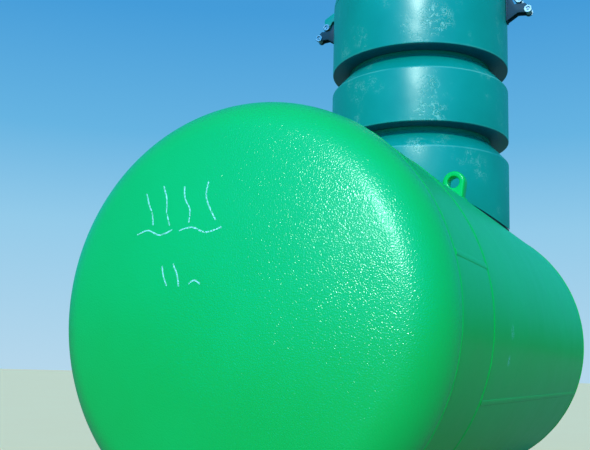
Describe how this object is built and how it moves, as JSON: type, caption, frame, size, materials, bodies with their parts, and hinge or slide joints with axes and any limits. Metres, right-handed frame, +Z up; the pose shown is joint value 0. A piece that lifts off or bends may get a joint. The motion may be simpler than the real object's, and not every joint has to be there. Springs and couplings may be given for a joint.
{
  "type": "domestic lpg tank",
  "caption": "Horizontal welded LPG vessel for burial, with dished ends, feet, lifting lugs and a stacked plastic service neck closed by a latched lid.",
  "frame": {"origin": "on the floor, under the middle of the tank's bounding box", "axes": "+X along the vessel from the near end to the end with the service neck, +Y across it, +Z up"},
  "size_m": [2.4592, 1.2058, 2.3293],
  "materials": {
    "vesselCoat": "glossy epoxy coat with orange peel",
    "neckPlastic": "moulded, lightly scuffed",
    "sealRubber": "matt",
    "galvanised": "hot-dip galvanised",
    "bracketNylon": "glass-filled nylon, dark"
  },
  "bodies": {
    "root": {"course_weld": "vesselCoat", "far_head": "vesselCoat", "far_head_weld": "vesselCoat", "foot_plate_far_left": "vesselCoat", "foot_plate_far_right": "vesselCoat", "foot_plate_near_left": "vesselCoat", "foot_plate_near_right": "vesselCoat", "foot_web_far_left": "vesselCoat", "foot_web_far_right": "vesselCoat", "foot_web_near_left": "vesselCoat", "foot_web_near_right": "vesselCoat", "latch_bracket_left": "bracketNylon", "latch_bracket_right": "bracketNylon", "latch_eye_pin_left": "galvanised", "latch_eye_pin_right": "galvanised", "latch_hinge_pin_left": "galvanised", "latch_hinge_pin_right": "galvanised", "latch_link_left": "galvanised", "latch_link_right": "galvanised", "lid_ear_left": "neckPlastic", "lid_ear_right": "neckPlastic", "lifting_lug_left": "vesselCoat", "lifting_lug_right": "vesselCoat", "main_course": "vesselCoat", "main_course_seam": "vesselCoat", "near_course": "vesselCoat", "near_course_seam": "vesselCoat", "near_head": "vesselCoat", "near_head_weld": "vesselCoat", "neck_lid": "neckPlastic", "neck_lower": "neckPlastic", "neck_middle": "neckPlastic", "neck_seal": "sealRubber", "neck_upper": "neckPlastic"}
  },
  "joints": []
}
